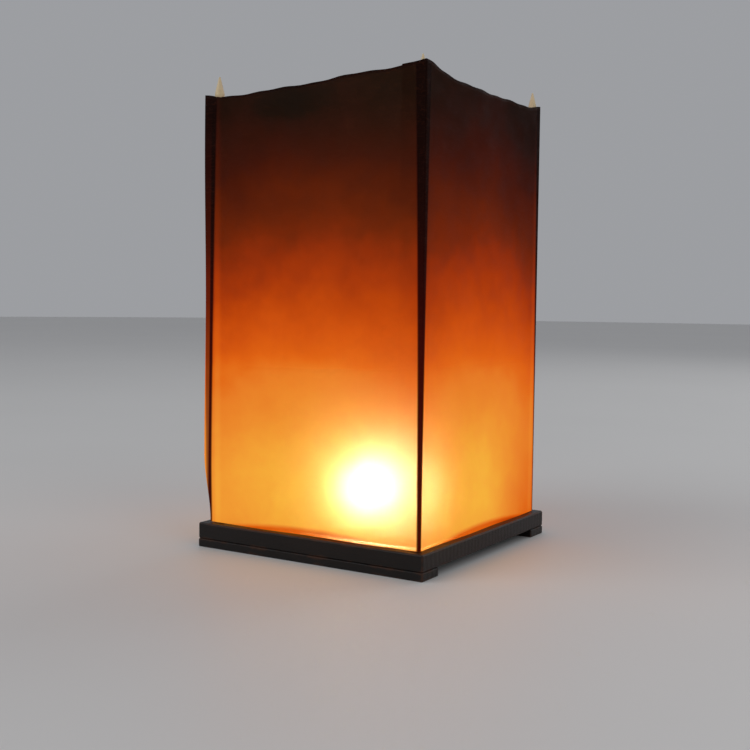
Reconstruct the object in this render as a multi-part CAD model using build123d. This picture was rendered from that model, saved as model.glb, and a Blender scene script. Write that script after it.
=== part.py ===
from build123d import *

import os

# A floating lantern: a square paper shade stands round four pointed posts on a
# wooden float, with a tealight in a shallow seat at the middle.
# Millimetres. The origin is under the middle of the float, where it rests, and
# +Z is up. The front of the shade faces -Y, and the runners lie along X.

# Paper shade
shade_width = 150.0  # outside, the same both ways
shade_height = 262.0
paper_thickness = 0.4
flap_width = 15.0  # glued lap inside the front panel, at its right end
flap_rise = 5.0  # the lap's upper edge stands this much above the panels

# Float: one board on two runners
board_margin = 5.0  # board showing outside the shade
board_thickness = 10.0
board_edge = 0.8  # broken edges all round
runner_width = 18.0
runner_thickness = 5.0
runner_edge = 0.5

# Brads that hold the runners to the board
brad_diameter = 1.6
brad_length = 12.0
brad_point = 2.0
brad_head_diameter = 3.2
brad_head_thickness = 0.8
brad_recess = 0.3  # heads are set this deep in the runners
brad_inset = 28.0  # from the ends of a runner

# Posts
post_diameter = 6.0
post_rise = 10.0  # point above the edge of the shade
post_point = 12.0  # length of the sharpened end
post_tip_diameter = 1.0
post_foot_chamfer = 0.4
socket_depth = 7.0
post_to_shade = 0.8  # gap between a post and the paper

# Tealight
cup_diameter = 38.0
cup_height = 16.5
cup_wall = 0.4
cup_rim_width = 0.8  # rolled rim, outside the wall
cup_rim_height = 0.9
seat_depth = 1.5
seat_clearance = 0.5
wax_below_rim = 4.0
wax_dish = 0.8  # melted hollow round the wick
wick_diameter = 1.6
wick_rise = 6.0  # above the lowest wax
sustainer_diameter = 13.0
sustainer_thickness = 0.3
sustainer_neck_diameter = 3.0
sustainer_neck_height = 4.0

# Levels and places that follow from the sizes above
board_width = shade_width + 2 * board_margin
board_bottom = runner_thickness
board_top = board_bottom + board_thickness
seat_level = board_top - seat_depth
shade_top = board_top + shade_height
inner_width = shade_width - 2 * paper_thickness
post_offset = inner_width / 2 - post_to_shade - post_diameter / 2
runner_offset = board_width / 2 - runner_width / 2
brad_offset = board_width / 2 - brad_inset
cup_inside = cup_diameter - 2 * cup_wall
cup_floor = seat_level + cup_wall
wax_top = seat_level + cup_height - wax_below_rim

corners = {
    "front_left": (-post_offset, -post_offset),
    "front_right": (post_offset, -post_offset),
    "rear_left": (-post_offset, post_offset),
    "rear_right": (post_offset, post_offset),
}
sides = {"front": -runner_offset, "rear": runner_offset}


def block(width, depth, low, high):
    """A block centred on the Z axis between two levels."""
    return Pos(0, 0, (low + high) / 2) * Box(width, depth, high - low)


def turned(profile):
    """The solid swept by turning a closed outline of (radius, level) points round the Z axis."""
    outline = Polyline(*[(radius, 0, level) for radius, level in profile], close=True)
    return revolve(make_face(outline), axis=Axis.Z)


def rod(diameter, low, high):
    """A round rod on the Z axis between two levels."""
    return Pos(0, 0, (low + high) / 2) * Cylinder(diameter / 2, high - low)


def brad():
    """One brad on the Z axis, point up, with its head sunk below level 0."""
    shank, head = brad_diameter / 2, brad_head_diameter / 2
    neck = brad_recess + brad_head_thickness
    tip = brad_recess + brad_length
    return turned(
        [
            (0, brad_recess),
            (head, brad_recess),
            (head, neck),
            (shank, neck),
            (shank, tip - brad_point),
            (0, tip),
        ]
    )


def brad_places():
    return [
        Pos(x, y, 0) for y in sides.values() for x in (-brad_offset, brad_offset)
    ]


def brad_holes():
    """What the brads take out of the wood, with the open counterbore below each head."""
    sunk = brad() + rod(brad_head_diameter, 0, brad_recess)
    return [place * sunk for place in brad_places()]


def base_board():
    """Square board with a socket under each post and a shallow seat for the tealight."""
    board = block(board_width, board_width, board_bottom, board_top)
    board = chamfer(board.edges(), board_edge)
    socket = rod(post_diameter, board_top - socket_depth, board_top)
    for x, y in corners.values():
        board -= Pos(x, y, 0) * socket
    board -= rod(cup_diameter + 2 * seat_clearance, seat_level, board_top)
    return board - brad_holes()


def runner(y):
    """Strip of wood along X, under one edge of the board."""
    strip = block(board_width, runner_width, 0, runner_thickness)
    strip = chamfer(strip.edges(), runner_edge)
    return Pos(0, y, 0) * strip - brad_holes()


def post():
    """Round post on the Z axis, sharpened at the top and pressed into its socket."""
    foot, point = board_top - socket_depth, shade_top + post_rise
    radius, tip = post_diameter / 2, post_tip_diameter / 2
    return turned(
        [
            (0, foot),
            (radius - post_foot_chamfer, foot),
            (radius, foot + post_foot_chamfer),
            (radius, point - post_point),
            (tip, point),
            (0, point),
        ]
    )


def paper_shade():
    """One sheet folded into a square sleeve, open at both ends, with its end lapped inside."""
    sleeve = block(shade_width, shade_width, board_top, shade_top)
    sleeve -= block(inner_width, inner_width, board_top, shade_top)
    lap = Box(flap_width, paper_thickness, shade_height + flap_rise)
    lap_x = inner_width / 2 - flap_width / 2
    lap_y = -inner_width / 2 + paper_thickness / 2
    return sleeve + Pos(lap_x, lap_y, (board_top + shade_top + flap_rise) / 2) * lap


def tealight_cup():
    """Thin metal cup with a rolled rim."""
    outside, inside = cup_diameter / 2, cup_inside / 2
    rim, top = outside + cup_rim_width, seat_level + cup_height
    return turned(
        [
            (0, seat_level),
            (outside, seat_level),
            (outside, top - cup_rim_height),
            (rim, top - cup_rim_height),
            (rim, top),
            (inside, top),
            (inside, cup_floor),
            (0, cup_floor),
        ]
    )


def wick_sustainer():
    """Flat disc with a neck that holds the foot of the wick."""
    disc, neck, bore = sustainer_diameter / 2, sustainer_neck_diameter / 2, wick_diameter / 2
    plate = cup_floor + sustainer_thickness
    return turned(
        [
            (0, cup_floor),
            (disc, cup_floor),
            (disc, plate),
            (neck, plate),
            (neck, cup_floor + sustainer_neck_height),
            (bore, cup_floor + sustainer_neck_height),
            (bore, plate),
            (0, plate),
        ]
    )


def wick():
    low = cup_floor + sustainer_thickness
    return rod(wick_diameter, low, wax_top - wax_dish + wick_rise)


def tealight_wax():
    """Wax that fills the cup, dished round the wick, with the sustainer and the wick in it."""
    cast = turned(
        [
            (0, cup_floor),
            (cup_inside / 2, cup_floor),
            (cup_inside / 2, wax_top),
            (0, wax_top - wax_dish),
        ]
    )
    return cast - wick_sustainer() - wick()


parts = {
    "base_board": base_board(),
    "runner_brads": Compound([place * brad() for place in brad_places()]),
    "paper_shade": paper_shade(),
    "tealight_cup": tealight_cup(),
    "tealight_wax": tealight_wax(),
    "wick_sustainer": wick_sustainer(),
    "wick": wick(),
}
for side, y in sides.items():
    parts[f"{side}_runner"] = runner(y)
for corner, (x, y) in corners.items():
    parts[f"{corner}_post"] = Pos(x, y, 0) * post()

os.makedirs("parts", exist_ok=True)
for name, solid in parts.items():
    export_step(solid, f"parts/{name}.step")
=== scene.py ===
import math

import bmesh
import bpy
import numpy as np
from mathutils import Matrix, Vector


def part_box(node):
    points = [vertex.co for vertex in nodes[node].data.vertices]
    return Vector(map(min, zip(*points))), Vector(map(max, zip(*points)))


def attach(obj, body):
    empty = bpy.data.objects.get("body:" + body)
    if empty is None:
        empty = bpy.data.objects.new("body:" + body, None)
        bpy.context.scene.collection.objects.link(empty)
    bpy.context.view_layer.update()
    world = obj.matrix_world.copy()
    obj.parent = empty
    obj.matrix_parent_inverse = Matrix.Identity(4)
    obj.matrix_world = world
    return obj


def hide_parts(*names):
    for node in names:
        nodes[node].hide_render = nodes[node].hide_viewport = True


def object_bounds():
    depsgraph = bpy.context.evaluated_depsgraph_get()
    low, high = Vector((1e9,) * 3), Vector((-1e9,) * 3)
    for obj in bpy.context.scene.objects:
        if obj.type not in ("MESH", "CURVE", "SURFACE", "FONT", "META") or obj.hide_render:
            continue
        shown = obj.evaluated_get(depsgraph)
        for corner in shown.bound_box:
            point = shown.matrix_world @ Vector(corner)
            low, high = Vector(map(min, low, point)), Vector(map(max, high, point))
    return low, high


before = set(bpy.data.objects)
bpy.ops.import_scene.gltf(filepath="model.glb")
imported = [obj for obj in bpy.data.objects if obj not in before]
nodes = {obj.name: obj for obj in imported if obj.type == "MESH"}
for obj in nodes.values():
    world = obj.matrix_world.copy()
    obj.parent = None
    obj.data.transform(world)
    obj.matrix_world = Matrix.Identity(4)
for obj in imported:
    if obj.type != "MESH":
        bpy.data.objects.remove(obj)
cad_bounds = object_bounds()


# ---------------------------------------------------------------- The float
# One board on two runners, sawn from soft wood, stained almost black and rubbed with
# oil. The edges are broken with a plane, and handling has worn the stain thin there.

STAIN_DEEP = (6, 4, 4)  # colours are written as display values from 0 to 255
STAIN_THIN = (26, 15, 11)
BARE_EDGE = (74, 44, 27)
RING_SPACING = 0.0045  # between two growth rings
WORN_WIDTH = 0.0016  # how far the wear reaches from an edge


def colour(red, green, blue):
    """Display values from 0 to 255 as the linear colour that a shader socket takes."""
    value = np.array([red, green, blue]) / 255
    linear = np.where(value <= 0.04045, value / 12.92, ((value + 0.055) / 1.055) ** 2.4)
    return (*linear.tolist(), 1.0)


def node(tree, kind, sockets=None, **settings):
    """Adds a node. sockets holds a constant or another node's output for each input."""
    made = tree.nodes.new("ShaderNode" + kind)
    for name, value in settings.items():
        setattr(made, name, value)
    for name, value in (sockets or {}).items():
        if isinstance(value, bpy.types.NodeSocket):
            tree.links.new(value, made.inputs[name])
        else:
            made.inputs[name].default_value = value
    return made


def maths(tree, operation, *values):
    """The output of one Math node over up to three values."""
    return node(tree, "Math", dict(enumerate(values)), operation=operation).outputs[0]


def vector(tree, operation, *values):
    """The output of one Vector Math node over one or two vectors."""
    return node(tree, "VectorMath", dict(enumerate(values)), operation=operation).outputs[0]


def axes(tree, place):
    """The X, Y and Z of a vector."""
    return node(tree, "SeparateXYZ", {0: place}).outputs


def step(tree, value, start, end, low=0.0, high=1.0):
    """A smooth step from low to high as value goes from start to end."""
    sockets = {
        "Value": value, "From Min": start, "From Max": end, "To Min": low, "To Max": high,
    }
    made = node(tree, "MapRange", sockets, interpolation_type="SMOOTHSTEP")
    return made.outputs["Result"]


def mixed(tree, share, first, second, blend_type="MIX"):
    """The colour that goes from first to second as share goes from 0 to 1."""
    sockets = {"Factor": share, 6: first, 7: second}
    made = node(tree, "Mix", sockets, data_type="RGBA", blend_type=blend_type)
    return made.outputs[2]


def noise(tree, place, scale, detail=3.0, roughness=0.5, distortion=0.0):
    """Smooth noise around 0.5 with scale bumps to a metre."""
    sockets = {
        "Vector": place, "Scale": scale, "Detail": detail,
        "Roughness": roughness, "Distortion": distortion,
    }
    return node(tree, "TexNoise", sockets).outputs["Fac"]


def stretched(tree, place, scale, turn=(0.0, 0.0, 0.0)):
    """place turned and then scaled along each axis."""
    sockets = {"Vector": place, "Scale": scale, "Rotation": turn}
    return node(tree, "Mapping", sockets).outputs["Vector"]


def group(name, inputs, outputs):
    """An empty shader node group with float or vector inputs and float outputs."""
    tree = bpy.data.node_groups.new(name, "ShaderNodeTree")
    for socket, kind in inputs:
        tree.interface.new_socket(socket, in_out="INPUT", socket_type="NodeSocket" + kind)
    for socket in outputs:
        tree.interface.new_socket(socket, in_out="OUTPUT", socket_type="NodeSocketFloat")
    return tree, tree.nodes.new("NodeGroupInput").outputs, tree.nodes.new("NodeGroupOutput")


def use(tree, made, sockets):
    """Places a node group in a material and gives its outputs."""
    placed = node(tree, "Group", node_tree=made)
    for name, value in sockets.items():
        if isinstance(value, bpy.types.NodeSocket):
            tree.links.new(value, placed.inputs[name])
        else:
            placed.inputs[name].default_value = value
    return placed.outputs


def wood_grain():
    """Growth rings and fibres of wood whose grain runs along X of Place. The rings are a
    wave across the grain, bent by noise, and the fibres are noise drawn out along it."""
    inputs = [("Place", "Vector"), ("Spacing", "Float")]
    tree, given, result = group("wood_grain", inputs, ["Rings", "Fibres", "Height"])
    per_ring = maths(tree, "DIVIDE", 1.0, given["Spacing"])
    sockets = {0: given["Place"], "Scale": per_ring}
    size = node(tree, "VectorMath", sockets, operation="SCALE").outputs[0]
    along = stretched(tree, size, (0.035, 1.0, 0.7))
    sockets = {
        "Vector": along, "Scale": 0.32, "Distortion": 5.0, "Detail": 3.0, "Detail Scale": 0.6,
    }
    wave = node(tree, "TexWave", sockets, bands_direction="Y").outputs["Fac"]
    fibres = noise(tree, stretched(tree, size, (0.35, 9.0, 9.0)), 1.0, 4.0, 0.6)
    tree.links.new(wave, result.inputs["Rings"])
    tree.links.new(fibres, result.inputs["Fibres"])
    height = maths(tree, "MULTIPLY_ADD", wave, 0.35, fibres)
    tree.links.new(height, result.inputs["Height"])
    return tree


def edge_wear():
    """A mask that is 1 along the edges of a block. Of the three distances to the block's
    faces, the second smallest is the distance to an edge, and noise varies its reach."""
    tree, given, result = group(
        "edge_wear",
        [
            ("Place", "Vector"), ("Middle", "Vector"), ("Half Size", "Vector"),
            ("Width", "Float"),
        ],
        ["Worn"],
    )
    off = vector(tree, "SUBTRACT", given["Place"], given["Middle"])
    left = vector(tree, "SUBTRACT", given["Half Size"], vector(tree, "ABSOLUTE", off))
    x, y, z = axes(tree, left)
    low, high = maths(tree, "MINIMUM", x, y), maths(tree, "MAXIMUM", x, y)
    second = maths(tree, "MAXIMUM", low, maths(tree, "MINIMUM", high, z))
    patches = noise(tree, given["Place"], 95.0, 4.0, 0.62)
    share = step(tree, patches, 0.36, 0.7, 0.15, 1.6)
    reach = maths(tree, "MULTIPLY", given["Width"], share)
    worn = maths(tree, "SUBTRACT", 1.0, step(tree, second, 0.0, reach))
    tree.links.new(worn, result.inputs["Worn"])
    return tree


GRAIN, WEAR = wood_grain(), edge_wear()


def material(name):
    """A new material: its node tree, its Principled shader and its object coordinates."""
    made = bpy.data.materials.new(name)
    made.use_nodes = True
    tree = made.node_tree
    shader = tree.nodes["Principled BSDF"]
    return made, tree, shader, node(tree, "TexCoord").outputs["Object"]


def feed(tree, shader, **sockets):
    """Links outputs or sets constants on a shader; an underscore stands for a space."""
    for name, value in sockets.items():
        socket = shader.inputs[name.replace("_", " ")]
        if isinstance(value, bpy.types.NodeSocket):
            tree.links.new(value, socket)
        else:
            socket.default_value = value


def bump(tree, height, depth, strength=1.0):
    """A normal from a height between 0 and 1 that stands depth metres proud."""
    sockets = {"Height": height, "Distance": depth, "Strength": strength}
    return node(tree, "Bump", sockets).outputs["Normal"]


def finish_node(name, made):
    """Gives a CAD node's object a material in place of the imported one."""
    for held in nodes[name].material_slots:
        held.material = made


def stained_wood(name):
    """The float's wood on one CAD node, with grain along X and wear along its edges."""
    made, tree, shader, place = material("stained_" + name)
    low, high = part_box(name)
    grain = use(tree, GRAIN, {"Place": place, "Spacing": RING_SPACING})
    rings, fibres, height = grain.values()
    worn = use(tree, WEAR, {
        "Place": place, "Middle": (low + high) / 2, "Half Size": (high - low) / 2,
        "Width": WORN_WIDTH,
    })["Worn"]
    soaked = step(tree, fibres, 0.38, 0.66, 0.0, 0.55)
    uptake = maths(tree, "MULTIPLY_ADD", rings, 0.45, soaked)
    stain = mixed(tree, uptake, colour(*STAIN_DEEP), colour(*STAIN_THIN))
    drift = step(tree, noise(tree, place, 22.0, 3.0), 0.35, 0.7, 0.72, 1.25)
    stain = mixed(tree, 1.0, stain, drift, "MULTIPLY")
    bare = maths(tree, "MULTIPLY", worn, step(tree, fibres, 0.3, 0.62, 0.25, 0.85))
    rough = step(tree, fibres, 0.3, 0.7, 0.34, 0.56)
    feed(
        tree, shader,
        Base_Color=mixed(tree, bare, stain, colour(*BARE_EDGE)),
        Roughness=maths(tree, "MULTIPLY_ADD", bare, 0.25, rough),
        Normal=bump(tree, height, 0.00022, 0.8),
        Specular_IOR_Level=0.3,
        Coat_Weight=0.05,
        Coat_Roughness=0.35,
    )
    finish_node(name, made)


for part in ("base_board", "front_runner", "rear_runner"):
    stained_wood(part)


# ---------------------------------------------------------------- The brads
# Four bright steel brads, two driven up through each runner into the board and set a
# little below the wood. Water has started to rust them.

STEEL = (150, 150, 152)
RUST = (92, 48, 26)


def brad_steel():
    """Drawn steel with rust where noise is high."""
    made, tree, shader, place = material("brad_steel")
    rust = step(tree, noise(tree, place, 1400.0, 4.0, 0.65), 0.5, 0.62)
    feed(
        tree, shader,
        Base_Color=mixed(tree, rust, colour(*STEEL), colour(*RUST)),
        Metallic=maths(tree, "SUBTRACT", 1.0, rust),
        Roughness=step(tree, rust, 0.0, 1.0, 0.32, 0.8),
        Normal=bump(tree, noise(tree, place, 3000.0), 0.00005, 0.6),
    )
    return made


finish_node("runner_brads", brad_steel())


# ---------------------------------------------------------------- The posts
# Four round bamboo sticks, cut to length and whittled to a point with six strokes of a
# knife. Each is pushed dry into its socket in the board, and the shade drops over them.

WHITTLED = 0.012  # length of the point
STROKES = 6
STROKE_START = 1.16  # a stroke's depth from the axis where it starts, over the radius
STROKE_END = 0.13  # and at the tip
FIBRE_SPACING = 0.0016
BAMBOO_PALE = (222, 190, 138)
BAMBOO_FIBRE = (150, 108, 62)
BAMBOO_CUT = (238, 216, 174)


def piece_from_grid(name, points, body, made, closed=False, uv=None):
    """A mesh whose quads join neighbouring points of a (rows, columns, 3) array in metres.
    closed joins the last column to the first, and rows drawn to one point become a pole."""
    rows, columns = points.shape[:2]
    index = np.arange(rows * columns).reshape(rows, columns)
    here, beside = index, np.roll(index, -1, 1)
    if not closed:
        here, beside = index[:, :-1], index[:, 1:]
    quads = np.stack([here[:-1], beside[:-1], beside[1:], here[1:]], -1).reshape(-1, 4)
    mesh = bpy.data.meshes.new(name)
    mesh.from_pydata(points.reshape(-1, 3).tolist(), [], quads.tolist())
    if uv is not None:
        corner = np.zeros(len(mesh.loops), int)
        mesh.loops.foreach_get("vertex_index", corner)
        layer = mesh.uv_layers.new(name="sheet")
        layer.data.foreach_set("uv", uv.reshape(-1, 2)[corner].ravel())
    work = bmesh.new()
    work.from_mesh(mesh)
    bmesh.ops.remove_doubles(work, verts=work.verts, dist=1e-7)
    if closed:
        bmesh.ops.recalc_face_normals(work, faces=work.faces)
    work.to_mesh(mesh)
    work.free()
    mesh.polygons.foreach_set("use_smooth", np.ones(len(mesh.polygons), bool))
    mesh.materials.append(made)
    piece = bpy.data.objects.new(name, mesh)
    bpy.context.scene.collection.objects.link(piece)
    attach(piece, body)
    return piece


def bamboo():
    """Fibre bundles along Z as drawn-out noise, and paler wood where the knife went."""
    made, tree, shader, place = material("bamboo")
    x, y, z = axes(tree, place)
    along_z = node(tree, "CombineXYZ", {"X": z, "Y": x, "Z": y}).outputs[0]
    fibres = use(tree, GRAIN, {"Place": along_z, "Spacing": FIBRE_SPACING})["Fibres"]
    bundles = noise(tree, stretched(tree, along_z, (26.0, 2300.0, 2300.0)), 1.0, 2.0)
    dark = maths(tree, "MULTIPLY", step(tree, bundles, 0.52, 0.68), 0.75)
    streaks = step(tree, fibres, 0.35, 0.65, 0.0, 0.5)
    pale = mixed(tree, streaks, colour(*BAMBOO_PALE), colour(*BAMBOO_FIBRE))
    skin = mixed(tree, dark, pale, colour(*BAMBOO_FIBRE))
    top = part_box("front_left_post")[1].z
    cut = step(tree, z, top - WHITTLED - 0.0012, top - WHITTLED + 0.0006, 0.0, 0.75)
    feed(
        tree, shader,
        Base_Color=mixed(tree, cut, skin, colour(*BAMBOO_CUT)),
        Roughness=step(tree, fibres, 0.3, 0.7, 0.42, 0.62),
        Normal=bump(tree, maths(tree, "ADD", fibres, bundles), 0.00012, 0.7),
        Sheen_Weight=0.1,
    )
    return made


def whittled_stick(name, made, turn):
    """A round stick with a faceted point. Its radius is the stick's own, or less where a
    stroke cuts deeper: its depth over the cosine of the angle from its middle."""
    low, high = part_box(name)
    middle, radius = (low + high) / 2, (high.x - low.x) / 2
    shoulder = high.z - WHITTLED
    levels = np.concatenate([
        [low.z, low.z, low.z + 0.0004],
        np.linspace(low.z + 0.004, shoulder - 0.004, 30),
        np.linspace(shoulder - 0.002, high.z, 22),
        [high.z],
    ])
    share = np.ones_like(levels)
    share[0], share[1], share[-1] = 0, 0.88, 0
    angle = np.linspace(0, 2 * math.pi, 72, endpoint=False)[None, :]
    up = levels[:, None]
    stroke = 2 * math.pi / STROKES
    which = np.round((angle - turn) / stroke)
    off_middle = (angle - turn) - which * stroke
    bite = 0.0007 * np.cos(2.3 * which + turn)  # some strokes start lower than others
    start = shoulder - 0.002 - bite
    rise = np.clip((up - start) / (high.z - start), 0, 1)
    depth = radius * (STROKE_START - rise * (STROKE_START - STROKE_END))
    facet = depth / np.cos(off_middle)
    oval = radius * (1 - 0.012 * (1 + np.cos(2 * angle + turn)))
    reach = np.minimum(oval, facet) * share[:, None]
    bow = 0.0003 * np.sin(math.pi * (up - low.z) / (high.z - low.z))
    points = np.stack([
        middle.x + reach * np.cos(angle) + bow * math.cos(turn),
        middle.y + reach * np.sin(angle) + bow * math.sin(turn),
        up + 0 * angle,
    ], -1)
    piece = piece_from_grid(name + "_stick", points, "float", made, closed=True)
    piece.data.set_sharp_from_angle(angle=math.radians(24))
    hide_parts(name)
    return piece


stick_finish = bamboo()
sticks = [
    whittled_stick(corner + "_post", stick_finish, 0.4 + 1.1 * turn)
    for turn, corner in enumerate(("front_left", "front_right", "rear_left", "rear_right"))
]


# ---------------------------------------------------------------- The tealight cup
# Thin aluminium pressed to a cup in one stroke. The wall is crimped into fine flutes, the
# rim is rolled outwards, and a step is pressed round the bottom to stiffen it.

FLUTES = 60
FLUTE_DEPTH = 0.00012
RIM_ROLL = 0.00042  # radius of the rolled rim
CUP_WALL = 0.0003
FOOT_CURVE = 0.0010  # radius where the wall meets the bottom
PRESSED = 0.0005  # depth of the step in the bottom
PRESSED_RADIUS = 0.0153
CUP_BRIGHT = (228, 229, 231)
CUP_DULL = (196, 197, 201)


def fluted_cup():
    """The cup's wall outside and in as one closed profile turned round Z. Along the wall
    the radius also goes in and out as a cosine of the angle, fading at rim and foot."""
    low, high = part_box("tealight_cup")
    outside = high.x - 2 * RIM_ROLL
    inside = outside - CUP_WALL
    floor, rim_z = low.z + CUP_WALL, high.z - RIM_ROLL

    def arc(x, z, size, start, end, count):
        turn = np.linspace(start, end, count) * math.pi
        return np.stack([x + size * np.cos(turn), z + size * np.sin(turn)], -1)

    def upright(x, start, end):
        return np.stack([np.full(16, x), np.linspace(start, end, 16)], -1)

    outline = np.concatenate([
        [[0, low.z + PRESSED], [PRESSED_RADIUS - 0.0008, low.z + PRESSED]],
        [[PRESSED_RADIUS, low.z], [outside - 0.0012, low.z]],
        arc(outside - FOOT_CURVE, low.z + FOOT_CURVE, FOOT_CURVE, -0.5, 0, 6),
        upright(outside, low.z + 0.002, rim_z - RIM_ROLL - 0.0002),
        arc(high.x - RIM_ROLL, rim_z, RIM_ROLL, -0.5, 1.0, 13),
        upright(inside, rim_z - RIM_ROLL, low.z + 0.0018),
        [[outside - 0.0014, floor + 0.0001], [PRESSED_RADIUS - 0.0003, floor + 0.0001]],
        [[PRESSED_RADIUS - 0.0010, floor + PRESSED], [0, floor + PRESSED]],
    ])
    radius, level = outline[:, 0, None], outline[:, 1, None]
    angle = np.linspace(0, 2 * math.pi, FLUTES * 6, endpoint=False)[None, :]
    above_foot = np.clip((level - low.z - 0.002) / 0.002, 0, 1)
    below_rim = np.clip((rim_z - 0.001 - level) / 0.001, 0, 1)
    depth = FLUTE_DEPTH * above_foot * below_rim * (radius > PRESSED_RADIUS + 0.0007)
    reach = radius - depth * (1 + np.cos(FLUTES * angle))
    return np.stack([reach * np.cos(angle), reach * np.sin(angle), level + 0 * angle], -1)


def cup_aluminium():
    """Bright rolled sheet: fine lines round the cup, and dull where it was handled."""
    made, tree, shader, place = material("cup_aluminium")
    lines = noise(tree, stretched(tree, place, (60.0, 60.0, 5200.0)), 1.0, 3.0)
    handled = noise(tree, place, 160.0, 4.0, 0.6)
    tone = step(tree, handled, 0.3, 0.7, 0.0, 0.6)
    dull = step(tree, handled, 0.35, 0.7, 0.2, 0.38)
    feed(
        tree, shader,
        Base_Color=mixed(tree, tone, colour(*CUP_BRIGHT), colour(*CUP_DULL)),
        Metallic=1.0,
        Roughness=maths(tree, "MULTIPLY_ADD", lines, 0.12, dull),
        Normal=bump(tree, lines, 0.00002, 0.6),
    )
    return made


cup = piece_from_grid("fluted_cup", fluted_cup(), "tealight", cup_aluminium(), closed=True)
cup.data.set_sharp_from_angle(angle=math.radians(50))
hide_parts("tealight_cup")


# ---------------------------------------------------------------- The wax
# Ivory paraffin poured into the cup. Round the burning wick it has melted to a clear
# shallow pool with an uneven shore, and outside the pool it is still set and matt.

POOL_RADIUS = 0.0125
POOL_DEPTH = 0.0007  # below the CAD wax's upper edge
SHORE_RISE = 0.00045
SHORE_WIDTH = 0.0025
SET_WAX = (240, 232, 210)
CLOUDED_WAX = (228, 217, 190)
MELTED_WAX = (226, 206, 166)


def poured_wax():
    """A closed turned surface. The top is low in the pool, rises over 2.5 mm at a shore
    whose radius wanders with the angle, and creeps up at the cup's wall and at the wick."""
    low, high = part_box("tealight_wax")
    edge = high.x - 0.0001
    angle = np.linspace(0, 2 * math.pi, 120, endpoint=False)[None, :]
    radius = np.concatenate([
        [0.0], np.linspace(0.0006, 0.003, 8), np.linspace(0.0035, edge - 0.0012, 36),
        np.linspace(edge - 0.001, edge, 8),
    ])[:, None]
    shore = POOL_RADIUS + 0.0008 * np.sin(2 * angle + 0.6)
    shore = shore + 0.0005 * np.sin(3 * angle + 2.0)
    way = np.clip((radius - shore) / SHORE_WIDTH + 0.5, 0, 1)
    top = high.z - POOL_DEPTH + SHORE_RISE * way * way * (3 - 2 * way)
    at_wall, at_wick = np.exp((radius - edge) / 0.0005), np.exp(-radius / 0.0008)
    top = top + 0.00022 * at_wall + 0.0003 * at_wick
    top = top + 0.00005 * way * np.sin(5 * angle + radius * 900) * np.sin(radius * 1400 + 1)
    over = np.stack([radius * np.cos(angle), radius * np.sin(angle), top], -1)
    bottom = low.z + 0.0004
    side = np.array([
        [edge, high.z - 0.002], [edge, low.z + 0.0012], [edge - 0.001, bottom], [0, bottom],
    ])
    reach, level = side[:, :1], side[:, 1:]
    under = np.stack([reach * np.cos(angle), reach * np.sin(angle), level + 0 * angle], -1)
    return np.concatenate([over, under])


def candle_wax():
    """Cloudy wax that lets light in. Below the level of the shore it is wet and clear."""
    made, tree, shader, place = material("candle_wax")
    level = axes(tree, place)["Z"]
    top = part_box("tealight_wax")[1].z
    is_set = step(tree, level, top - 0.0006, top - 0.0004)
    clouds = noise(tree, place, 420.0, 4.0, 0.6)
    cloudy = step(tree, clouds, 0.35, 0.7, 0.0, 0.5)
    set_wax = mixed(tree, cloudy, colour(*SET_WAX), colour(*CLOUDED_WAX))
    feed(
        tree, shader,
        Base_Color=mixed(tree, is_set, colour(*MELTED_WAX), set_wax),
        Roughness=step(tree, is_set, 0.0, 1.0, 0.06, 0.46),
        Normal=bump(tree, maths(tree, "MULTIPLY", clouds, is_set), 0.00012, 0.6),
        Subsurface_Weight=0.25,
        Subsurface_Radius=(0.01, 0.006, 0.003),
        Subsurface_Scale=0.4,
        IOR=1.44,
    )
    return made


wax = piece_from_grid("poured_wax", poured_wax(), "tealight", candle_wax(), closed=True)
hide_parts("tealight_wax")


# ---------------------------------------------------------------- Sustainer and wick
# A small tinned steel disc pinches the foot of the wick under the wax. The wick is braided
# cotton, white below the wax, burnt black above it, and bent over with a glowing end.

WICK_BEND = 0.0022  # how far its end leans over
STRANDS = 8
BRAID_TURNS = 7
TINNED = (176, 176, 178)
TINNED_BRIGHT = (205, 205, 208)
WAXED_COTTON = (206, 192, 160)
CHAR = (22, 18, 16)
EMBER = (255, 88, 14)


def sustainer_steel():
    """Tinned sheet with faint rolling marks."""
    made, tree, shader, place = material("sustainer_steel")
    marks = noise(tree, stretched(tree, place, (300.0, 5000.0, 300.0)), 1.0)
    feed(
        tree, shader,
        Base_Color=mixed(tree, marks, colour(*TINNED), colour(*TINNED_BRIGHT)),
        Metallic=1.0,
        Roughness=step(tree, marks, 0.3, 0.7, 0.25, 0.45),
    )
    return made


def braided_wick():
    """A tube along a line that rises straight and then leans along +X as the square of its
    height. Two sets of waves that wind opposite ways round it make the braid."""
    low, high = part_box("wick")
    radius = (high.x - low.x) / 2
    rise = np.linspace(0, 1, 70)[:, None]
    angle = np.linspace(0, 2 * math.pi, 48, endpoint=False)[None, :]
    leaning = np.clip((rise - 0.68) / 0.32, 0, 1)
    round_end = np.sqrt(np.clip(1 - ((rise - 0.96) / 0.04).clip(0, 1) ** 2, 0, 1))
    shrunk = 1 - 0.25 * leaning
    wind = 2 * math.pi * BRAID_TURNS * rise
    one_way, other_way = STRANDS / 2 * angle + wind, STRANDS / 2 * angle - wind
    braid = 0.045 * (np.cos(one_way) + np.cos(other_way))
    frayed = 0.06 * leaning * np.sin(5 * angle + 40 * rise)
    reach = radius * (0.88 + braid + frayed) * shrunk * round_end * (rise > 0)
    height = low.z + (high.z - 0.0004 - low.z) * rise - 0.0004 * leaning**2
    return np.stack([
        reach * np.cos(angle) + WICK_BEND * leaning**2,
        reach * np.sin(angle) + 0.0003 * leaning,
        height + 0.35 * reach * leaning * -np.cos(angle),
    ], -1)


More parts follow.
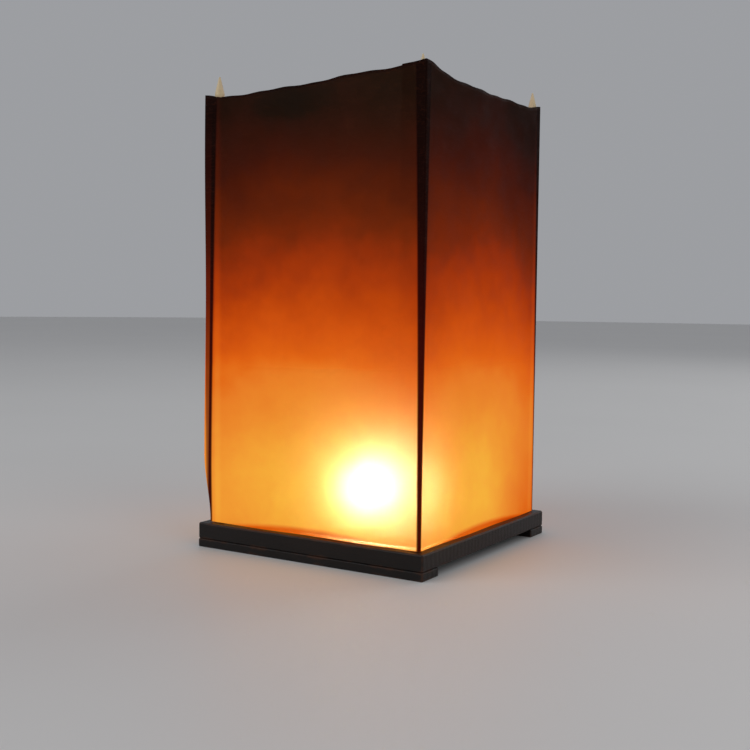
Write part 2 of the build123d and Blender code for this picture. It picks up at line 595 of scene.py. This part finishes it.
def wick_cotton():
    """Cotton, charred above the wax, with an ember where noise is high near the end."""
    made, tree, shader, place = material("wick_cotton")
    level = axes(tree, place)["Z"]
    high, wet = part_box("wick")[1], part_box("tealight_wax")[1].z
    burnt = step(tree, level, wet - 0.0002, wet + 0.0012)
    ember = maths(
        tree, "MULTIPLY", step(tree, level, high.z - 0.0016, high.z - 0.0006),
        step(tree, noise(tree, place, 2500.0), 0.4, 0.6),
    )
    feed(
        tree, shader,
        Base_Color=mixed(tree, burnt, colour(*WAXED_COTTON), colour(*CHAR)),
        Roughness=step(tree, burnt, 0.0, 1.0, 0.5, 0.95),
        Normal=bump(tree, noise(tree, place, 5000.0, 2.0), 0.0001),
        Emission_Color=mixed(tree, ember, (0, 0, 0, 1), colour(*EMBER)),
        Emission_Strength=1.5,
    )
    return made


finish_node("wick_sustainer", sustainer_steel())
wick = piece_from_grid(
    "braided_wick", braided_wick(), "tealight", wick_cotton(), closed=True
)
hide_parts("wick")


# ---------------------------------------------------------------- The flame
# A steady candle flame on the burnt end of the wick: blue and clear at its foot, a dull
# core round the wick, and pale yellow above. One small lamp in it throws its light, and a
# strong one is only seen where the paper passes it on.

FLAME_HEIGHT = 0.019
FLAME_RADIUS = 0.0042
FLAME_BELOW_TIP = 0.0034  # its foot, below the end of the wick
FLAME_LEAN = 0.0036  # to the left
FLAME_COLOURS = (  # by share of the height
    (0.0, (30, 60, 210)), (0.16, (120, 60, 60)), (0.34, (255, 176, 70)),
    (0.6, (255, 226, 150)), (0.85, (255, 205, 104)), (1.0, (255, 150, 40)),
)
LAMP_RADIUS = 0.004
LAMP_POWER = 0.02
THROUGH_POWER = 15.5  # of the lamp that is seen only through the paper


def flame_shape(foot):
    """A drop turned round a line. The radius grows as nearly the square root of the height
    and closes again to the tip, and the line leans a little to the left as it rises."""
    rise = (0.5 - 0.5 * np.cos(np.linspace(0, math.pi, 48)))[:, None]
    angle = np.linspace(0, 2 * math.pi, 40, endpoint=False)[None, :]
    reach = FLAME_RADIUS * 1.9 * rise**0.55 * (1 - rise) ** 0.95
    return np.stack([
        foot.x + reach * np.cos(angle) - FLAME_LEAN * rise * (1.6 - rise),
        foot.y + reach * np.sin(angle) - 0.0004 * rise**2,
        foot.z + FLAME_HEIGHT * rise + 0 * angle,
    ], -1)


def ramped(tree, value, stops):
    """The colour for a value, straight between stops of a value and a display colour."""
    first, last = stops[0][0], stops[-1][0]
    share = node(tree, "MapRange", {"Value": value, "From Min": first, "From Max": last})
    ramp = node(tree, "ValToRGB", {"Fac": share.outputs["Result"]})
    elements = ramp.color_ramp.elements
    elements[0].color, elements[1].color = colour(*stops[0][1]), colour(*stops[-1][1])
    for where, shade in stops[1:-1]:
        elements.new((where - first) / (last - first)).color = colour(*shade)
    return ramp.outputs["Color"]


def flame_glow(foot):
    """Colour and clearness by height in the flame."""
    made, tree, shader, place = material("flame_glow")
    above = maths(tree, "SUBTRACT", axes(tree, place)["Z"], foot.z)
    rise = maths(tree, "DIVIDE", above, FLAME_HEIGHT)
    feed(
        tree, shader,
        Base_Color=(0, 0, 0, 1),
        Roughness=1.0,
        Specular_IOR_Level=0.0,
        Emission_Color=ramped(tree, rise, FLAME_COLOURS),
        Emission_Strength=5.0,
        Alpha=step(tree, rise, 0.0, 0.36, 0.25, 1.0),
    )
    return made


wick_low, wick_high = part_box("wick")
flame_foot = (wick_low + wick_high) / 2
flame_foot.z = wick_high.z - FLAME_BELOW_TIP
flame = piece_from_grid(
    "flame", flame_shape(flame_foot), "tealight", flame_glow(flame_foot), closed=True
)
flame.visible_shadow = False
flame_middle = flame_foot + Vector((0, 0, 0.5 * FLAME_HEIGHT))


def candle_lamp(name, tint, power):
    """A small round lamp in the lower part of the flame, which goes with it."""
    light = bpy.data.lights.new(name, "POINT")
    light.color, light.energy, light.shadow_soft_size = tint, power, LAMP_RADIUS
    lamp = bpy.data.objects.new(name, light)
    lamp.location = flame_foot + Vector((-0.0018, -0.0001, 0.36 * FLAME_HEIGHT))
    lamp.parent = flame
    bpy.context.scene.collection.objects.link(lamp)
    return lamp


candle_lamp("candle_light", (1.0, 0.8, 0.5), LAMP_POWER)
seen_through = candle_lamp("flame_through_paper", (1.0, 0.85, 0.6), THROUGH_POWER)
seen_through.visible_diffuse = False
seen_through.visible_glossy = False
seen_through.visible_volume_scatter = False

# the posts don't block it, because their shadow is already painted dark into the paper where
# one stands behind it
no_blockers = bpy.data.collections.new("posts_that_let_the_flame_through")
for stick in sticks:
    no_blockers.objects.link(stick)
for entry in no_blockers.collection_objects:
    entry.light_linking.link_state = "EXCLUDE"
seen_through.light_linking.blocker_collection = no_blockers


# ---------------------------------------------------------------- The paper shade
# One sheet of thick mulberry paper, folded at four corners and glued where its end laps
# 15 mm inside the front. It drops over the posts, tight at three corners and loose at the
# front left one, and a crease from packing runs round it over a third of the way up.

LAP = 0.015
LAP_PROUD = 0.005  # the lap's upper edge stands this much above the panels
PAPER = 0.00022
FOLD = 0.0022  # length of paper taken up by the bend at a corner
LOOSE = 0.0042  # how far the loose corner stands out
CREASE_LEVEL = 0.38  # share of the height
FOOT_CLEAR = 0.0003  # between the foot of the paper and the board

shade_low, shade_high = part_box("paper_shade")
FOOT, TOP, HALF = shade_low.z, shade_high.z, shade_high.x


def sheet_plan(columns, turns):
    """The middle of the paper in plan, at ways along the sheet: a square's outline that
    turns at the folds, averaged over the length of a fold, which rounds its corners."""
    half, fine, spare = HALF - PAPER / 2, 0.0001, 0.004
    way = np.arange(-spare, turns[-1] + spare, fine)
    past_ends = np.minimum(way, 0) + np.maximum(way - turns[-1], 0)
    stations = [0.0, *turns]
    behind_front = -half + 0.0005  # where the lap lies
    turn_x = [half - LAP, half, half, -half, -half, half]
    turn_y = [behind_front, behind_front, half, half, -half, -half]
    count = int(FOLD / fine)
    window = np.ones(count) / count
    x = np.convolve(np.interp(way, stations, turn_x) + past_ends, window, "same")
    y = np.convolve(np.interp(way, stations, turn_y), window, "same")
    return np.interp(columns, way, x)[None, :], np.interp(columns, way, y)[None, :]


def upper_edge(s, turns):
    """How far the edge stands above the panels' height along the sheet, straight between
    listed points. It is highest at the lap's fold and lowest by the loose corner."""
    at = [
        0, LAP, LAP + 0.008, LAP + 0.016, LAP + 0.03, LAP + 0.05,
        turns[1] - 0.02, turns[1], turns[1] + 0.02,
        turns[2] - 0.02, turns[2], turns[2] + 0.02,
        turns[3] - 0.02, turns[3], turns[3] + 0.01, turns[3] + 0.045,
        turns[4] - 0.07, turns[4] - 0.041, turns[4] - LAP, turns[4],
    ]
    rise = [
        0.0050, 0.0064, 0.0054, 0.0034, 0.0010, -0.0006,
        -0.0010, 0.0012, -0.0006,
        0.0, 0.0022, -0.0004,
        0.0002, -0.0012, -0.0030, -0.0016,
        0.0004, 0.0026, 0.0040, 0.0060,
    ]
    return np.interp(s, at, rise)


def shade_sheet():
    """The sheet over the way along it, s, and the way up, rise, with its own flat place as
    UV. To the plan is added, square to each panel: a slow bulge between the corners, a
    sharp ridge at the crease that fades as an exponential, and three crossing waves for
    wrinkles. The loose corner moves out by an exponential of the way from its fold."""
    side = 2 * HALF - PAPER
    turns = LAP + side * np.arange(5)
    across = side * (0.5 - 0.5 * np.cos(np.linspace(0, math.pi, 61)))[1:]
    panels = [turn + across for turn in turns[:4]]
    columns = np.concatenate([np.linspace(0, LAP, 13), *panels])
    x, y = sheet_plan(columns, turns)
    by_crease = CREASE_LEVEL + 0.012 * np.linspace(-1, 1, 13) ** 3
    rise = np.sort(np.concatenate([np.linspace(0, 1, 121), by_crease]))[:, None]
    s = columns[None, :]

    # heights, with a foot and an upper edge that wander a little
    panel = (s - LAP) / side
    height = TOP - LAP_PROUD - FOOT
    wander = 0.0003 * np.sin(panel * 19.0 + 1.0) + 0.0002 * np.sin(panel * 47.0)
    foot = FOOT + FOOT_CLEAR + 0.00015 * (1 + np.sin(panel * 13.0))
    z = foot + (height + upper_edge(s, turns) + wander - (foot - FOOT)) * rise

    # square to the panels
    within = np.clip(panel, 0, 4) % 1.0
    number = np.clip(np.floor(panel), 0, 3).astype(int)
    normal_x = np.array([1.0, 0.0, -1.0, 0.0])[number]
    normal_y = np.array([0.0, 1.0, 0.0, -1.0])[number]
    between = np.sin(math.pi * within) * (s > LAP)
    belly = np.array([0.0010, -0.0006, 0.0012, 0.0009])[number]
    slow = belly * between * (0.35 + 0.65 * np.sin(math.pi * rise))
    crease_line = CREASE_LEVEL + 0.006 * np.sin(panel * 3.1)
    crease = -0.0011 * np.exp(-np.abs(rise - crease_line) / 0.016) * (0.6 + 0.4 * between)
    wrinkles = (
        0.00014 * np.sin(15 * panel + 7 * rise + 1.0)
        + 0.00012 * np.sin(9 * panel - 23 * rise + 2.2)
        + 0.00005 * np.sin(37 * panel + 31 * rise)
    ) * (0.5 + 0.9 * rise)
    curl = 0.0008 * rise**8 * np.sin(2 * math.pi * within + number)
    out = slow + between * (crease + wrinkles + curl)
    x, y = x + out * normal_x, y + out * normal_y

    # the loose corner, between the left and the front panels
    gap = s - turns[3]
    swell = np.clip(rise / 0.16, 0, 1)
    swell = swell * swell * (3 - 2 * swell) * (1 - 0.12 * rise + 0.1 * np.sin(9 * rise))
    away = LOOSE * swell * np.where(gap < 0, np.exp(gap / 0.011), np.exp(-gap / 0.009))
    x, y = x - away, y - 0.12 * away
    return np.stack([x + 0 * z, y + 0 * z, z], -1), np.stack([s + 0 * z, z], -1)


# direction in the sheet, bumps to a metre across, and half width of the line in the noise
FIBRES = ((0.25, 330.0, 0.013), (1.35, 290.0, 0.012), (2.3, 380.0, 0.011))


def mulberry_paper():
    """Long fibres and clouds of a handmade sheet. Clouds are noise; a fibre shows where
    drawn-out noise passes its middle value, in three directions that cross."""
    tree, given, result = group(
        "mulberry_paper", [("Place", "Vector")], ["Clouds", "Fibres", "Height"]
    )
    fibres = None
    for turn, scale, reach in FIBRES:
        long = (0.22 * scale, scale, scale)
        drawn = stretched(tree, given["Place"], long, (0.0, 0.0, turn))
        off = maths(tree, "SUBTRACT", noise(tree, drawn, 1.0, 1.5, 0.4), 0.5)
        line = step(tree, maths(tree, "ABSOLUTE", off), reach, 0.0)
        fibres = line if fibres is None else maths(tree, "MAXIMUM", fibres, line)
    tree.links.new(noise(tree, given["Place"], 75.0, 5.0, 0.6), result.inputs["Clouds"])
    tree.links.new(fibres, result.inputs["Fibres"])
    pulp = maths(tree, "MULTIPLY", noise(tree, given["Place"], 900.0, 3.0, 0.6), 0.6)
    height = maths(tree, "MULTIPLY_ADD", fibres, 0.4, pulp)
    tree.links.new(height, result.inputs["Height"])
    return tree


# the painted glow's colour by nearness: distance of a panel from the flame over that of the
# point
GLOW = (
    (0.290, (8, 2, 1)), (0.310, (26, 4, 2)), (0.345, (52, 9, 2)), (0.370, (70, 16, 1)),
    (0.400, (90, 25, 1)), (0.430, (111, 32, 1)), (0.460, (137, 40, 2)),
    (0.500, (162, 51, 2)), (0.545, (186, 66, 2)), (0.600, (206, 81, 8)),
    (0.660, (220, 96, 13)), (0.700, (225, 107, 21)), (0.760, (230, 123, 35)),
    (0.850, (236, 140, 44)), (0.930, (241, 157, 51)), (1.045, (247, 180, 60)),
)
ALONG_PANEL = 0.70  # weight of the way along a panel in the distance from the flame
BACK_DIM = 0.94  # nearness at the rear panel, against the front
LOW_REAR_DIM = -0.18  # changes of the nearness, as shares of it
POST_SIDE_PAINTED_LIGHT = 0.065
LAP_DIM = -0.010
RIM_DIM = -0.33
BELOW_CREASE = 0.038  # changes of the nearness itself
SMUDGE_DIM = 0.055
HAZE_DIM = 0.014
RIM_LINE = 0.0214  # edge of the rim's shadow over the foot, drawn in to the lantern's axis
RIM_FALL = -0.225  # and its slope outwards
# the painted shadow of a post on the paper: how far from a fold it reaches, and how it widens
# upwards
POST_NARROW = 0.0018  # way from a fold that a post darkens at the foot
POST_WIDENS = 0.0034  # and how much further at POST_LEVEL
POST_LEVEL = 0.230


def changed(tree, value, mask, share):
    """value, larger by a share of itself where mask is 1."""
    return maths(tree, "MULTIPLY", value, maths(tree, "MULTIPLY_ADD", mask, share, 1.0))


def length(tree, across):
    """The length of a vector."""
    return node(tree, "VectorMath", {0: across}, operation="LENGTH").outputs["Value"]


def product(tree, *values):
    """All the values multiplied."""
    total = values[0]
    for value in values[1:]:
        total = maths(tree, "MULTIPLY", total, value)
    return total


def from_fold(tree, x, y):
    """Way along a panel from the nearer fold: half a side, times 1 less the smaller over
    the larger of the distances from the lantern's two middle planes. Then the smaller."""
    wide, deep = maths(tree, "ABSOLUTE", x), maths(tree, "ABSOLUTE", y)
    least, most = maths(tree, "MINIMUM", wide, deep), maths(tree, "MAXIMUM", wide, deep)
    share = maths(tree, "SUBTRACT", 1.0, maths(tree, "DIVIDE", least, most))
    return maths(tree, "MULTIPLY", HALF, share), least


def nearness(tree, x, y, z, uv, clouds, fibres):
    """Distance of a panel from the flame over that of the point, which sets the painted glow.
    The crease, the sheet's own clouds, the lap, and the painted shadows and light of what
    stands between the flame and the paper change it."""
    # light thrown from wall to wall evens the glow out along a panel
    corner, least = from_fold(tree, x, y)
    from_flame = node(tree, "CombineXYZ", {
        "X": HALF, "Y": maths(tree, "MULTIPLY", least, ALONG_PANEL),
        "Z": maths(tree, "SUBTRACT", z, flame_middle.z),
    })
    near = maths(tree, "DIVIDE", HALF, length(tree, from_flame.outputs[0]))

    # the flame leans to the front, and the back is dimmer, most of all low down
    near = maths(tree, "MULTIPLY", near, step(tree, y, 0.1 * HALF, HALF, 1.0, BACK_DIM))
    low_down = step(tree, z, flame_middle.z + 0.06, FOOT)
    rear = step(tree, y, 0.0, 0.65 * HALF)
    near = changed(tree, near, product(tree, rear, low_down), LOW_REAR_DIM)

    # below the packing crease the painted glow is brighter
    crease_z = FOOT + CREASE_LEVEL * (TOP - LAP_PROUD - FOOT)
    level = maths(tree, "MULTIPLY_ADD", noise(tree, uv, 14.0), 0.012, z)
    below = step(tree, level, crease_z + 0.015, crease_z - 0.001)
    near = maths(tree, "MULTIPLY_ADD", below, BELOW_CREASE, near)

    # the paper's own clouds and fibres
    patches = step(tree, noise(tree, uv, 26.0, 3.0), 0.3, 0.7, 0.975, 1.02)
    finer = step(tree, clouds, 0.3, 0.7, 0.982, 1.016)
    near = product(tree, near, patches, finer, step(tree, fibres, 0.0, 1.0, 1.0, 0.985))

    # painted light: two corners across from each other are painted brighter, where the post's
    # side throws light
    same_sign = maths(tree, "GREATER_THAN", maths(tree, "MULTIPLY", x, y), 0.0)
    past_post = step(tree, corner, 0.0036, 0.0052)
    strip = product(tree, past_post, step(tree, corner, 0.0105, 0.0065), same_sign)
    near = changed(tree, near, strip, POST_SIDE_PAINTED_LIGHT)

    # the lap on the front panel is two layers thick
    in_front = maths(tree, "LESS_THAN", y, -0.9 * HALF)
    lapped = step(tree, x, HALF - LAP - 0.0006, HALF - LAP + 0.0004)
    near = changed(tree, near, product(tree, lapped, in_front), LAP_DIM)

    # the cup's rim throws a shadow on the foot of each panel, lower towards the corners
    squares = maths(tree, "MULTIPLY_ADD", x, x, maths(tree, "MULTIPLY", y, y))
    out = maths(tree, "SQRT", squares)
    line = maths(tree, "MULTIPLY_ADD", out, RIM_FALL, FOOT + RIM_LINE)
    rim = step(tree, maths(tree, "SUBTRACT", z, line), 0.0016, -0.0020)
    return changed(tree, near, rim, RIM_DIM), corner


def soot(tree, x, y, z, clouds):
    """A smudge near the top of the front panel, where the distance from its middle in an
    oval's own measure is small, and a haze that thickens upwards, mostly at the front."""
    oval = node(tree, "CombineXYZ", {
        "X": maths(tree, "DIVIDE", maths(tree, "ADD", x, 0.014), 0.030),
        "Y": maths(tree, "DIVIDE", maths(tree, "SUBTRACT", z, TOP - 0.014), 0.013),
        "Z": maths(tree, "DIVIDE", maths(tree, "ADD", y, HALF), 0.02),
    })
    ragged = maths(tree, "MULTIPLY_ADD", clouds, 0.8, length(tree, oval.outputs[0]))
    high_up = step(tree, z, TOP - 0.075, TOP - 0.01)
    cloudy = step(tree, clouds, 0.4, 0.62, 0.3, 1.0)
    in_front = step(tree, y, -0.3 * HALF, -0.9 * HALF, 0.25, 1.0)
    haze = product(tree, high_up, cloudy, in_front)
    return step(tree, ragged, 1.5, 0.5), haze


def painted_post_shadows(tree, x, y, z, corner):
    """Two masks: the painted shadow where a post stands behind the paper, on a strip that
    widens as a power of the height, and the loose fold that lies beyond the front left post,
    which gets a dim painted light."""
    rise = maths(tree, "DIVIDE", maths(tree, "SUBTRACT", z, FOOT), POST_LEVEL)
    rise = maths(tree, "MAXIMUM", rise, 0.0)
    widening = maths(tree, "POWER", rise, 1.6)
    reach = maths(tree, "MULTIPLY_ADD", widening, POST_WIDENS, POST_NARROW)
    post = step(tree, maths(tree, "SUBTRACT", corner, reach), 0.0007, -0.0007)
    fold = maths(tree, "MULTIPLY_ADD", rise, -0.0030, maths(tree, "ADD", x, HALF + 0.0014))
    in_front = maths(tree, "LESS_THAN", y, 0.0)
    return post, product(tree, step(tree, fold, 0.0006, -0.0006), in_front)


THROUGH = 0.1  # share of the light that each face of the paper passes on, spread by fibres
WIDE_SHARE = 0.45  # of that, the share that is spread wide
NEAR_SPREAD, WIDE_SPREAD = 0.52, 0.92  # as roughness
BEND = 1.45  # refractive index of the fibres
# colour of a post's painted shadow in the light that passes through
POST_SHADOW_TINT = (40, 6, 2)


def passing_light(tree, post):
    """What the fibres let through: most of it spread a little and nearly white, the rest
    wide and yellow. It is redder where the paper is seen at a slant, and dark by a post, with
    a painted shadow."""
    facing = node(tree, "LayerWeight", {"Blend": 0.5}).outputs["Facing"]
    slant = step(tree, facing, 0.25, 0.75)
    spread = []
    for square_on, slanted, roughness in (
        ((1.0, 0.90, 0.84, 1), (0.85, 0.58, 0.30, 1), NEAR_SPREAD),
        ((1.0, 0.80, 0.42, 1), (0.85, 0.47, 0.14, 1), WIDE_SPREAD),
    ):
        tint = mixed(tree, slant, square_on, slanted)
        # painted shadow of a post in what passes through
        tint = mixed(tree, post, tint, colour(*POST_SHADOW_TINT))
        sockets = {"Color": tint, "Roughness": roughness, "IOR": BEND}
        spread.append(node(tree, "BsdfRefraction", sockets).outputs[0])
    return node(tree, "MixShader", {0: WIDE_SHARE, 1: spread[0], 2: spread[1]}).outputs[0]


# painted shade: the sheet's colours are far darker than pale paper, standing in for the shade
# of a dark room
PAPER_IN_PAINTED_SHADE = (32, 9, 4)
CLOUDS_IN_PAINTED_SHADE = (20, 6, 3)
FIBRES_IN_PAINTED_SHADE = (60, 25, 12)
SOOT_TONE = (4, 3, 3)
# painted shadow of a post: what is left of the glow
POST_SHADOW_PAINT = (0.05, 0.008, 0.008, 1)  # what is left of the glow
# painted dim red light on the loose fold, which lies in the post's shadow
LOOSE_FOLD_PAINTED_LIGHT = (0.36, 0.30, 0.50, 1)


def glowing_paper():
    """Paper lit through from the flame, with its glow painted as emission. The glow's colour
    is read from the nearness, less the soot. A part of the light passes on through the sheet
    as a rough refraction."""
    made, tree, shader, place = material("glowing_paper")
    uv = node(tree, "UVMap", uv_map="sheet").outputs["UV"]
    clouds, fibres, height = use(tree, PULP, {"Place": uv}).values()
    x, y, z = axes(tree, place)
    near, corner = nearness(tree, x, y, z, uv, clouds, fibres)
    smudge, haze = soot(tree, x, y, z, clouds)
    haze = maths(tree, "MULTIPLY", haze, HAZE_DIM)
    sooty = maths(tree, "MULTIPLY_ADD", smudge, SMUDGE_DIM, haze)
    lit = ramped(tree, maths(tree, "SUBTRACT", near, sooty), GLOW)

    # painted shadow: behind a post the paper is painted dark, and the loose fold beyond it
    # gets a painted dim red light
    post, loose = painted_post_shadows(tree, x, y, z, corner)
    dim = mixed(tree, loose, POST_SHADOW_PAINT, LOOSE_FOLD_PAINTED_LIGHT)
    shaded = mixed(tree, 1.0, lit, dim, "MULTIPLY")

    # the paper's colour, dark as painted shade, with its fibres and soot
    toned = mixed(tree, clouds, colour(*PAPER_IN_PAINTED_SHADE), colour(*CLOUDS_IN_PAINTED_SHADE))
    toned = mixed(tree, maths(tree, "MULTIPLY", fibres, 0.5), toned, colour(*FIBRES_IN_PAINTED_SHADE))
    toned = mixed(tree, maths(tree, "MULTIPLY", smudge, 0.8), toned, colour(*SOOT_TONE))
    feed(
        tree, shader,
        Base_Color=toned,
        Roughness=step(tree, clouds, 0.3, 0.7, 0.55, 0.75),
        Normal=bump(tree, height, 0.00018, 0.6),
        Emission_Color=mixed(tree, post, lit, shaded),
        Emission_Strength=1.0,
        Specular_IOR_Level=0.04,
    )
    surface, passing = shader.outputs[0], passing_light(tree, post)
    sheet = node(tree, "MixShader", {0: THROUGH, 1: surface, 2: passing}).outputs[0]

    # the lap is glued flat, so the lamps light the panel behind it as if it were not there
    on_lap = maths(tree, "LESS_THAN", axes(tree, uv)["X"], LAP)
    clear = node(tree, "BsdfTransparent").outputs[0]
    for_lamps = node(tree, "MixShader", {0: on_lap, 1: sheet, 2: clear}).outputs[0]
    shadow_ray = node(tree, "LightPath").outputs["Is Shadow Ray"]
    whole = node(tree, "MixShader", {0: shadow_ray, 1: sheet, 2: for_lamps}).outputs[0]
    output = next(n for n in tree.nodes if n.type == "OUTPUT_MATERIAL")
    tree.links.new(whole, output.inputs["Surface"])
    return made


PULP = mulberry_paper()
sheet_points, sheet_uv = shade_sheet()
shade = piece_from_grid("folded_shade", sheet_points, "shade", glowing_paper(), uv=sheet_uv)
thickness = shade.modifiers.new("paper", "SOLIDIFY")
thickness.thickness = PAPER
thickness.offset = 0.0
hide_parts("paper_shade")


# ---------------------------------------------------------------- Floor, light, camera
# A pale floor and a pale surround, three large soft lights, and a camera a little above
# the middle of the lantern that sees the front and the right side.

FLOOR_RADIUS = 6.0
FLOOR_SIDES = 96


def floor_finish():
    """Matt pale floor with the faintest mottling."""
    made, tree, shader, place = material("pale_floor")
    mottle = noise(tree, place, 3.0, 4.0)
    feed(
        tree, shader,
        Base_Color=mixed(tree, mottle, (0.68, 0.675, 0.665, 1), (0.72, 0.715, 0.705, 1)),
        Roughness=0.55,
    )
    return made


def soft_light(name, place, aim, size, power):
    """A square area light that faces aim."""
    light = bpy.data.lights.new(name, "AREA")
    light.size, light.energy = size, power
    lamp = bpy.data.objects.new(name, light)
    back = np.subtract(place, aim) / np.linalg.norm(np.subtract(place, aim))
    side = np.cross((0, 0, 1), back)
    side = side / np.linalg.norm(side)
    columns = np.stack([side, np.cross(back, side), back, place], -1)
    lamp.matrix_world = Matrix([*columns.tolist(), (0, 0, 0, 1)])
    bpy.context.scene.collection.objects.link(lamp)


ring = np.linspace(0, 2 * math.pi, FLOOR_SIDES, endpoint=False)[None, :]
reach = np.array([FLOOR_RADIUS, 2.0, 0.5, 0.0])[:, None]
floor_points = np.stack([reach * np.cos(ring), reach * np.sin(ring), 0 * reach * ring], -1)
floor_mesh = bpy.data.meshes.new("floor")
here = np.arange(reach.size * FLOOR_SIDES).reshape(-1, FLOOR_SIDES)
beside = np.roll(here, -1, 1)
floor_quads = np.stack([here[:-1], beside[:-1], beside[1:], here[1:]], -1).reshape(-1, 4)
floor_mesh.from_pydata(floor_points.reshape(-1, 3).tolist(), [], floor_quads.tolist())
floor_mesh.materials.append(floor_finish())
floor = bpy.data.objects.new("floor", floor_mesh)
bpy.context.scene.collection.objects.link(floor)

lantern_middle = (0, 0, cad_bounds[1][2] / 2)
soft_light("key_light", (-0.9, -1.3, 1.5), lantern_middle, 1.4, 9)
soft_light("side_light", (1.6, -0.5, 0.9), lantern_middle, 1.2, 4)
soft_light("back_light", (0.3, 1.6, 1.4), lantern_middle, 1.4, 6)

world = bpy.data.worlds.new("surround")
world.use_nodes = True
world.node_tree.nodes["Background"].inputs["Color"].default_value = (0.93, 0.95, 1.0, 1)
world.node_tree.nodes["Background"].inputs["Strength"].default_value = 0.36
scene = bpy.context.scene
scene.world = world
scene.view_settings.view_transform = "Standard"
scene.cycles.caustics_refractive = False
scene.cycles.sample_clamp_indirect = 0.0  # the flame shows through at full strength

CAMERA_BEARING = 31.97  # degrees round from the front towards the right
CAMERA_DISTANCE = 0.7322  # from the lantern's axis, level
CAMERA_HEIGHT = 0.1585
CAMERA_HEADING = 32.115
CAMERA_DIP = 4.121
CAMERA_ROLL = 0.604
CAMERA_LENS = 55.44  # mm, on 36 mm

camera_data = bpy.data.cameras.new("camera")
camera_data.lens, camera_data.sensor_width = CAMERA_LENS, 36
camera_data.clip_start = 0.01
camera = bpy.data.objects.new("camera", camera_data)
bearing = math.radians(CAMERA_BEARING)
camera_place = (
    CAMERA_DISTANCE * math.sin(bearing),
    -CAMERA_DISTANCE * math.cos(bearing),
    CAMERA_HEIGHT,
)
camera.matrix_world = (
    Matrix.Translation(camera_place)
    @ Matrix.Rotation(math.radians(CAMERA_HEADING), 4, "Z")
    @ Matrix.Rotation(math.radians(90 - CAMERA_DIP), 4, "X")
    @ Matrix.Rotation(math.radians(CAMERA_ROLL), 4, "Z")
)
scene.collection.objects.link(camera)
scene.camera = camera
